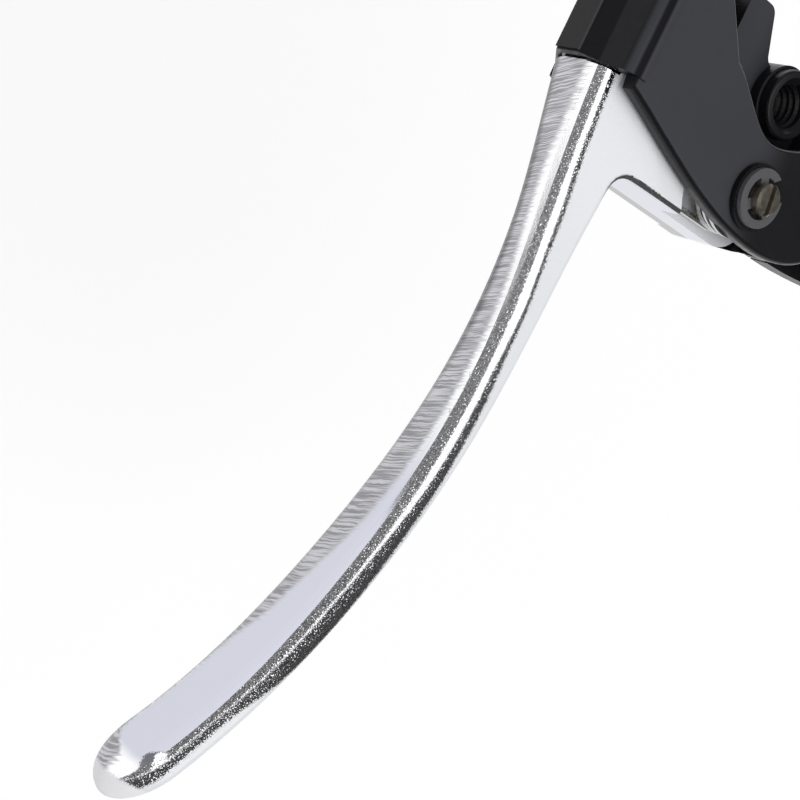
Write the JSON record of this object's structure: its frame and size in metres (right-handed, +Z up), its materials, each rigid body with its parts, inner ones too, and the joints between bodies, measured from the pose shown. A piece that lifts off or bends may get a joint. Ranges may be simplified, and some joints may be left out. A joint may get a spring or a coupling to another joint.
{
  "type": "bicycle brake lever",
  "caption": "Left-hand bicycle brake lever: a long curved aluminium blade pivots in a black cast bracket with a hood, a handlebar clamp, a threaded accessory boss and a cable adjuster.",
  "frame": {"origin": "centre of the handlebar clamp's bore", "axes": "+X along the handlebar towards the middle of the bicycle, +Y forward from the bar to the hood, +Z up along the pivot pin"},
  "size_m": [0.1664, 0.1084, 0.0454],
  "materials": {
    "blade": "cast, brushed across its front and polished along its edges",
    "bracket": "semi-matte black paint",
    "bush": "plain bearing bronze",
    "pin": "dull zinc plating",
    "clip": "black oxide",
    "washer": "bright",
    "spring": "drawn wire",
    "adjuster": "satin",
    "screw": "black oxide",
    "fastener": "bright zinc plating"
  },
  "bodies": {
    "bracket": {"bracket_body": "bracket", "clamp_cap": "bracket", "clamp_bolt_upper": "fastener", "clamp_bolt_lower": "fastener", "clamp_plain_washer_upper": "fastener", "clamp_plain_washer_lower": "fastener", "clamp_spring_washer_upper": "fastener", "clamp_spring_washer_lower": "fastener", "pivot_pin": "pin", "pivot_e_clip": "clip", "pivot_clip_washer": "clip", "upper_thrust_washer": "washer", "lower_thrust_washer": "washer", "return_spring": "spring", "reach_screw": "screw", "reach_lock_nut": "fastener"},
    "lever": {"lever_blade": "blade", "pivot_bush": "bush"},
    "adjuster": {"cable_adjuster": "adjuster"},
    "lock_ring": {"adjuster_lock_ring": "adjuster"}
  },
  "joints": [
    {"name": "lever_pivot", "type": "hinge", "parent": "bracket", "child": "lever", "pos_m": [-0.0095, 0.034, 0], "axis": [0, 0, 1], "range_deg": [0, 32], "stiffness_Nm_per_rad": 0.4, "springref_deg": -34.38, "deforming": ["return_spring"]},
    {"name": "adjuster_turn", "type": "hinge", "parent": "bracket", "child": "adjuster", "pos_m": [0.0356, 0.0625, 0], "axis": [1, 0, 0], "continuous": true},
    {"name": "lock_ring_turn", "type": "hinge", "parent": "adjuster", "child": "lock_ring", "pos_m": [0.0283, 0.0625, 0], "axis": [1, 0, 0], "continuous": true}
  ]
}
